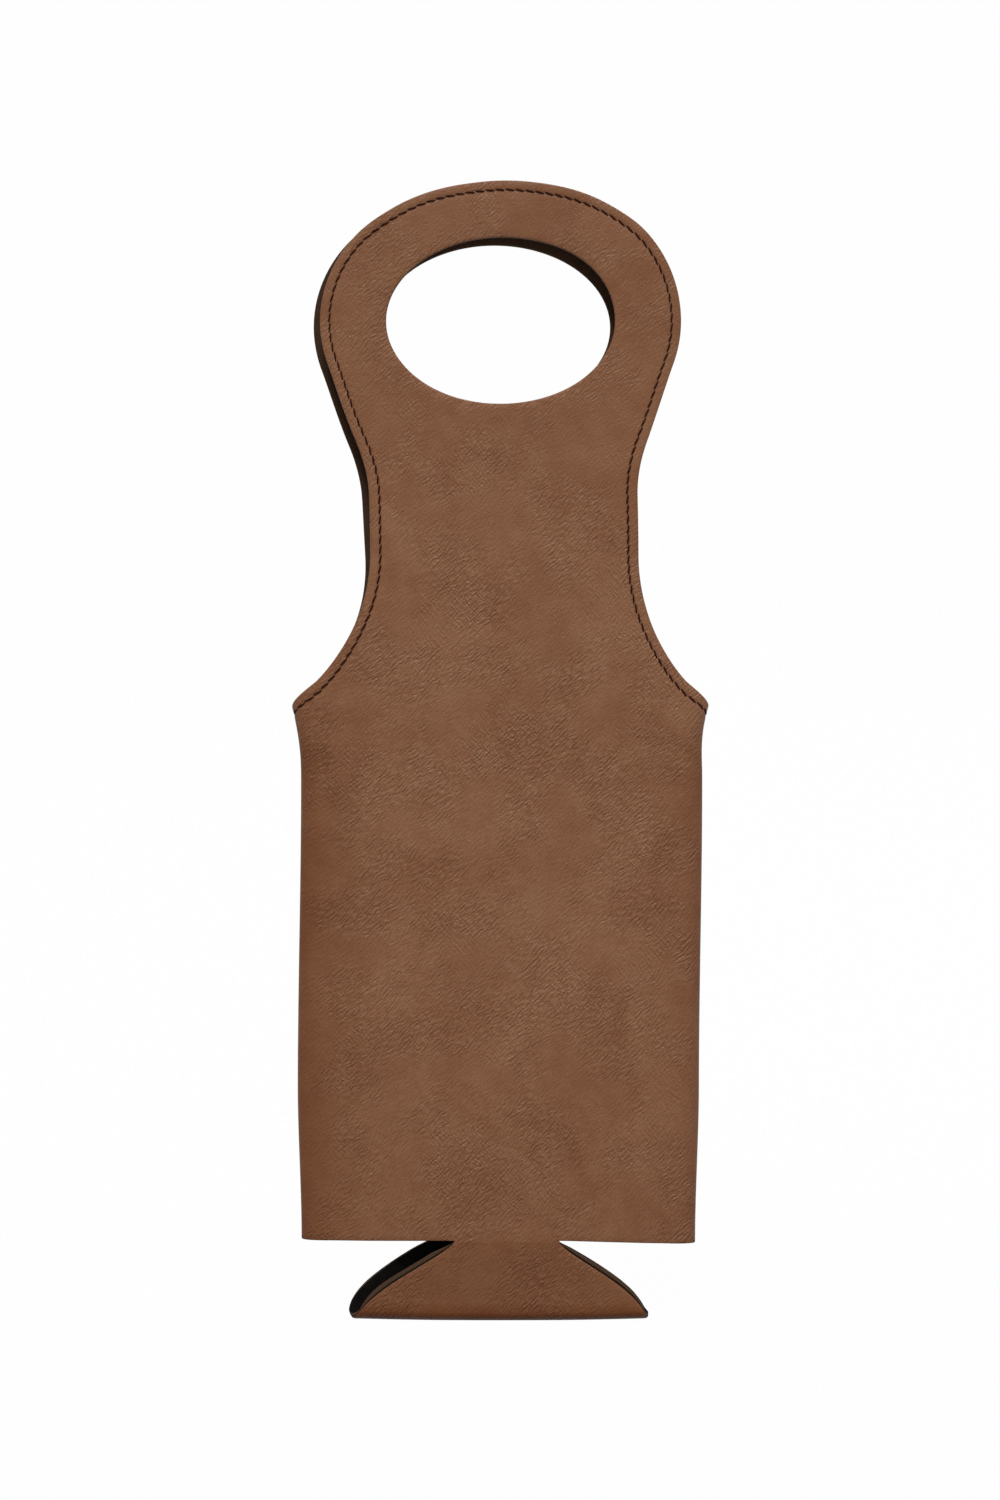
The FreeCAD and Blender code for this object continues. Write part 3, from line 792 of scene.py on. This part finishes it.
def dress(tree, shader, colour, roughness, bump, specular):
    """Give a shader its colour, roughness, bump (height, strength, distance) and specular level."""
    height, strength, distance = bump
    relief = add_node(tree, "ShaderNodeBump", {"Height": height, "Strength": strength, "Distance": distance})
    tree.links.new(colour, shader.inputs["Base Color"])
    tree.links.new(roughness, shader.inputs["Roughness"])
    tree.links.new(relief.outputs["Normal"], shader.inputs["Normal"])
    shader.inputs["Specular IOR Level"].default_value = specular


# Colours, and what multiplies the leather's own colour in hollows, on ridges and where shade is painted.
# The tint for painted shade and the darkest leather and lining colours are painted shade and painted shadow
LEATHER_DARK = srgb(118, 77, 51)
LEATHER_LIGHT = srgb(130, 91, 65)
LEATHER_FOLD_SHADOW = srgb(30, 8, 3)
HOLLOW_TINT = (0.9, 0.86, 0.81, 1)
RIDGE_TINT = (1.08, 1.09, 1.1, 1)
PAINTED_SHADE_TINT = (0.52, 0.29, 0.04, 1)
LINING_DARK = srgb(43, 28, 18)
LINING_LIGHT = srgb(80, 59, 43)
LINING_POCKET_SHADOW = srgb(9, 6, 4)
THREAD_DARK = srgb(26, 7, 4)
THREAD_LIGHT = srgb(52, 21, 14)
THREAD_END = srgb(62, 30, 18)

# Directions of the leather's wrinkles, in degrees, and their strength on the head and on the body
RIPPLE_ANGLE = 46
RISING_ANGLE = 48
FALLING_ANGLE = -52
HEAD_GRAIN = 0.7
BODY_GRAIN = 1.1


def make_leather():
    """Matte grained leatherette: cloudy brown, fine pebble, and patches of slanting wrinkles.
    Its colour carries painted shade, and painted shadow in the bottom fold.
    """
    material, tree, shader, flat = new_material("leatherette")
    clouds = noise(tree, flat, scale=24, detail=4, roughness=0.6, distortion=0.5)
    blotches = noise(tree, flat, scale=130, detail=3)
    tone = weighted(tree, (clouds, 0.65), (blotches, 0.35))
    brown = mix_colours(tree, remap(tree, tone, 0.3, 0.7), LEATHER_DARK, LEATHER_LIGHT)

    wavering = bent_place(tree, flat, scale=60.0, amount=0.0016)
    wavering = bent_place(tree, wavering, scale=300.0, amount=0.0004)
    level = add_node(tree, "ShaderNodeSeparateXYZ", {"Vector": flat}).outputs["Y"]
    strength = remap(tree, level, 0.0, EAR_LEVEL * MM, HEAD_GRAIN, BODY_GRAIN)
    rising = remap(tree, noise(tree, flat, scale=34, detail=3), 0.4, 0.6, 0.22, 0.68)
    rising = calculate(tree, "MULTIPLY", rising, strength)
    slanting = turned(tree, flat, angle=70, stretch=1.4)
    falling = remap(tree, noise(tree, slanting, scale=36, detail=2), 0.5, 0.66, 0.0, 0.5)
    falling = calculate(tree, "MULTIPLY", falling, strength)
    cells = {"Vector": wavering, "Scale": 1100.0}
    pebble = add_node(tree, "ShaderNodeTexVoronoi", cells, voronoi_dimensions="2D").outputs["Distance"]
    grain = noise(tree, flat, scale=2200, detail=1.0)
    height = total(
        tree,
        ripples(tree, wavering, RIPPLE_ANGLE, stretch=3.4, scale=1450, patches=rising),
        furrows(tree, wavering, RISING_ANGLE, rising),
        furrows(tree, wavering, FALLING_ANGLE, falling),
        calculate(tree, "MULTIPLY", pebble, -0.2),
        calculate(tree, "MULTIPLY", grain, 0.25),
    )

    # Hollows darker and ridges lighter: partly the finish's two tones, partly painted shade in the hollows
    # and painted light on the ridges
    tint = mix_colours(tree, remap(tree, height, -0.45, 0.55), HOLLOW_TINT, RIDGE_TINT)
    brown = mix_colours(tree, 1.0, brown, tint, "MULTIPLY")
    # Painted shade from the edge shade, and past 1 the painted shadow of the bottom fold
    shade = kept_shade(tree)
    shaded_brown = mix_colours(tree, 1.0, brown, PAINTED_SHADE_TINT, "MULTIPLY")
    brown = mix_colours(tree, shade, brown, shaded_brown)
    brown = mix_colours(tree, calculate(tree, "SUBTRACT", shade, 1.0), brown, LEATHER_FOLD_SHADOW)
    roughness = remap(tree, tone, 0.3, 0.7, 0.5, 0.42)
    dress(tree, shader, brown, roughness, bump=(height, 1.0, 0.00026), specular=0.2)
    return material


def make_edge(name, dark, light):
    """A cut edge: slightly fibrous, in two tones."""
    material, tree, shader, flat = new_material(name)
    fibres = noise(tree, flat, scale=1800, detail=3, roughness=0.7)
    colour = mix_colours(tree, fibres, dark, light)
    roughness = remap(tree, fibres, 0.3, 0.7, 0.7, 0.9)
    dress(tree, shader, colour, roughness, bump=(fibres, 0.5, 0.0002), specular=0.08)
    return material


def make_lining():
    """Dark backing cloth: a fine plain weave with a soft nap, with painted shadow inside the pocket, near
    black in the base.
    """
    material, tree, shader, flat = new_material("lining_cloth")
    inputs = {"Vector": flat, "Scale": 520.0, "Distortion": 0.6, "Detail": 1.0}
    warp = add_node(tree, "ShaderNodeTexWave", inputs, bands_direction="X").outputs["Fac"]
    weft = add_node(tree, "ShaderNodeTexWave", inputs, bands_direction="Y").outputs["Fac"]
    weave = calculate(tree, "MULTIPLY", warp, weft)
    nap = noise(tree, flat, scale=240, detail=4, roughness=0.65)
    tone = weighted(tree, (weave, 0.45), (nap, 0.55))
    brown = mix_colours(tree, tone, LINING_DARK, LINING_LIGHT)
    # Painted shadow inside the pocket, from the edge shade: near black in the base
    pocket_shadow = remap(tree, kept_shade(tree), 0.15, BASE_SHADE)
    colour = mix_colours(tree, pocket_shadow, brown, LINING_POCKET_SHADOW)
    roughness = remap(tree, nap, 0.3, 0.7, 0.8, 0.95)
    dress(tree, shader, colour, roughness, bump=(tone, 0.5, 0.00025), specular=0.08)
    return material


def make_thread_material():
    """Waxed brown-black sewing thread, its plies twisted."""
    material, tree, shader, flat = new_material("thread_twist")
    inputs = {"Vector": turned(tree, flat, angle=45, stretch=1), "Scale": 900.0, "Distortion": 0.4}
    plies = add_node(tree, "ShaderNodeTexWave", inputs).outputs["Fac"]
    brown = mix_colours(tree, plies, THREAD_DARK, THREAD_LIGHT)
    colour = mix_colours(tree, kept_shade(tree), brown, THREAD_END)
    roughness = remap(tree, plies, 0.0, 1.0, 0.75, 0.6)
    dress(tree, shader, colour, roughness, bump=(plies, 0.6, 0.0001), specular=0.06)
    return material


leather = make_leather()
# Near-black cut edges: partly the edge's own dark dye, partly painted shadow of the gap between leather and
# lining
leather_edge = make_edge("leather_edge", srgb(8, 5, 3), srgb(26, 17, 11))
lining = make_lining()
lining_edge = make_edge("lining_edge", srgb(60, 43, 31), srgb(88, 67, 51))
thread = make_thread_material()

# The sheets and their thread, zone by zone
LAYER_GAP = 0.03


def layer_depths(pattern):
    """Depths of the leather's and the lining's faces.
    Edges are rounded, but for the neck's inner corners, and the topstitch is pulled in."""
    s, z = pattern.points.T
    to_corner = np.hypot(np.abs(s) - NECK_HALF_WIDTH, z - WALL_BOTTOM)
    rounding = np.clip(EDGE_ROUND - pattern.edge_distance, 0, None)
    recess = (EDGE_ROUND - np.sqrt(EDGE_ROUND ** 2 - rounding ** 2)) * smooth_step(to_corner / NECK_DROP)
    channel = CHANNEL_DEPTH * channel_at(pattern)
    under = np.full(len(recess), LEATHER)
    return {"skin": (recess + channel, under), "cloth": (under + LAYER_GAP, SHEET - recess)}


def reach_out(pattern, amount, skew):
    """Flat places of a layer that was cut wider than the leather's face along the sides of the base."""
    s, z = pattern.points.T
    below = WALL_BOTTOM - z
    near = np.clip(1 - pattern.cut_distance / NECK_DROP, 0, 1)
    near *= smooth_step(below / OVERHANG_RISE) * (1 - smooth_step(2 * below / BASE_REACH - 1))
    return np.column_stack([s + (np.sign(s) * amount - skew) * near, z])


def cad_name(zone, face_name):
    """A zone's name in the CAD model, which is also its body's."""
    return f"{zone}_{face_name}_side" if zone in ("left", "right") else f"{face_name}_{zone}"


def bend_with_frame(piece, zone, face_name):
    """Let a piece of the wall ride on the wall's body; a piece of another zone only has its transform baked
    in.
    """
    wall = f"{face_name}_wall"
    if zone == "wall":
        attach(piece, wall)
        return
    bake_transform(piece)


def make_sheet(face, face_name):
    """Leather and lining of one sheet, with the topstitch round its edge."""
    pattern = Pattern(face)
    depths = layer_depths(pattern)
    shade = edge_shade(pattern)
    skived = reach_out(pattern, SKIVE, 0)
    reach, skew = LINING_REACH[face]
    wide = reach_out(pattern, reach, skew)
    bevelled = reach_out(pattern, reach - LINING_BEVEL, skew)
    middles, angles = spaced(pattern.stitch_line(), STITCH_PITCH)
    stitch_zones = zone_of(middles)
    for zone in ZONES:
        faces = pattern.zones[zone]
        cad = cad_name(zone, face_name)
        skin = make_layer(f"{cad}_skin", (pattern.points, skived), shade, faces, depths["skin"], face,
                          [leather, leather_edge, leather_edge])
        cloth = make_layer(f"{cad}_cloth", (wide, bevelled), shade, faces, depths["cloth"], face,
                           [lining_edge, lining_edge, lining])
        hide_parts(f"{cad}_leather")
        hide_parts(f"{cad}_lining")
        on_sheet = []
        here = stitch_zones == zone
        if here.any():
            topstitch = make_thread(f"{cad}_thread", middles[here], angles[here], face, (-1, 1))
            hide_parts(f"{cad}_topstitch")
            on_sheet.append(topstitch)
        for piece in [skin, cloth] + on_sheet:
            bend_with_frame(piece, zone, face_name)


def make_seam_thread(side, name):
    """The side seam's own stitches, inside the pocket."""
    levels = np.linspace(EAR_LEVEL - STITCH_MARGIN, WALL_BOTTOM, SEAM_STATIONS)
    path = np.column_stack([side * (seam_end(side, levels) - SEAM_MARGIN), levels])
    middles, angles = spaced(path, STITCH_PITCH)
    seam = make_thread(f"{name}_seam_thread", middles, angles, 1, (1,))
    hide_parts(f"{name}_seam_stitching")
    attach(seam, f"{name}_front_side")


make_sheet(1, "front")
make_sheet(-1, "back")
make_seam_thread(-1, "left")
make_seam_thread(1, "right")

# Camera, straight in front, with the photograph's scale on the front sheet
PHOTO_HEIGHT = 1500
MM_PER_PIXEL = 0.36
HOLE_PIXEL_Y = 320.5
CAMERA_DISTANCE = 1.0
SENSOR_WIDTH = 36
frame_height = PHOTO_HEIGHT * MM_PER_PIXEL * MM
camera_level = (HOLE_PIXEL_Y - PHOTO_HEIGHT / 2) * MM_PER_PIXEL * MM


def make_camera():
    data = bpy.data.cameras.new("camera")
    data.sensor_width = SENSOR_WIDTH
    data.lens = SENSOR_WIDTH * CAMERA_DISTANCE / frame_height
    camera = add_object("camera", data)
    camera.location = (0, -CAMERA_DISTANCE - HALF_DEPTH * MM, camera_level)
    camera.rotation_euler = (math.radians(90), 0, 0)
    bpy.context.scene.camera = camera


# Floor and backdrop in one sweep, in metres, and soft light
FLOOR_GAP = 0.5 * MM
FLOOR_WIDTH = 6.0
FLOOR_FRONT = -3.0
FLOOR_BACK = 1.2
SWEEP_RADIUS = 0.5
SWEEP_STEPS = 16
BACKDROP_HEIGHT = 2.4
PAPER = (0.45, 0.45, 0.45, 1)
WHITE = (1, 1, 1, 1)
PLAIN_SHARE = 0.98
WORLD_LIGHT = 0.2

# Name, place and width in metres, and power in watts
LAMPS = (
    ("key", (-0.8, -7.0, 10.2), 4.0, 1545),
    ("fill", (1.3, -1.6, -0.1), 1.4, 3),
    ("back", (0.5, 1.3, 1.6), 0.8, 30),
)


def make_backdrop():
    floor = (WALL_BOTTOM - BASE_REACH) * MM - FLOOR_GAP
    profile = [(FLOOR_FRONT, floor)]
    for turn in np.linspace(0, math.pi / 2, SWEEP_STEPS + 1):
        rise = SWEEP_RADIUS * (1 - math.cos(turn))
        profile.append((FLOOR_BACK + SWEEP_RADIUS * math.sin(turn), floor + rise))
    profile.append((FLOOR_BACK + SWEEP_RADIUS, floor + BACKDROP_HEIGHT))
    points = [(side * FLOOR_WIDTH / 2, y, z) for y, z in profile for side in (-1, 1)]
    faces = [(2 * row, 2 * row + 1, 2 * row + 3, 2 * row + 2) for row in range(len(profile) - 1)]
    mesh = bpy.data.meshes.new("backdrop")
    mesh.from_pydata(points, [], faces)
    mesh.shade_smooth()
    mesh.materials.append(make_backdrop_material())
    backdrop = add_object("backdrop", mesh)


def background_rays(tree):
    """1 for a ray from the camera, from a mirror or through glass."""
    path = add_node(tree, "ShaderNodeLightPath").outputs
    either = calculate(tree, "MAXIMUM", path["Is Glossy Ray"], path["Is Transmission Ray"])
    return calculate(tree, "MAXIMUM", path["Is Camera Ray"], either)


def make_backdrop_material():
    """White paper. The camera sees it mostly as plain white, with the shadow on it."""
    material = bpy.data.materials.new("white_paper")
    material.use_nodes = True
    tree = material.node_tree
    tree.nodes.clear()
    paper = add_node(tree, "ShaderNodeBsdfDiffuse", {"Color": PAPER}).outputs[0]
    white = add_node(tree, "ShaderNodeEmission", {"Color": WHITE, "Strength": 1.0}).outputs[0]
    share = calculate(tree, "MULTIPLY", background_rays(tree), PLAIN_SHARE)
    mixed = add_node(tree, "ShaderNodeMixShader", {0: share, 1: paper, 2: white}).outputs[0]
    add_node(tree, "ShaderNodeOutputMaterial", {"Surface": mixed})
    return material


def make_lamp(name, place_at, aim, width, power):
    data = bpy.data.lights.new(name, "AREA")
    data.size = width
    data.energy = power
    lamp = add_object(name, data)
    lamp.location = place_at
    lamp.rotation_euler = (Vector(aim) - Vector(place_at)).to_track_quat("-Z", "Y").to_euler()


def make_light():
    middle = (0, 0, camera_level)
    for name, place_at, width, power in LAMPS:
        make_lamp(name, place_at, middle, width, power)
    world = bpy.data.worlds.new("studio")
    world.use_nodes = True
    background = world.node_tree.nodes["Background"]
    background.inputs["Color"].default_value = WHITE
    strength = remap(world.node_tree, background_rays(world.node_tree), 0.0, 1.0, WORLD_LIGHT, 1.0)
    world.node_tree.links.new(strength, background.inputs["Strength"])
    bpy.context.scene.world = world


make_camera()
make_backdrop()
make_light()
bpy.context.scene.view_settings.view_transform = "Standard"
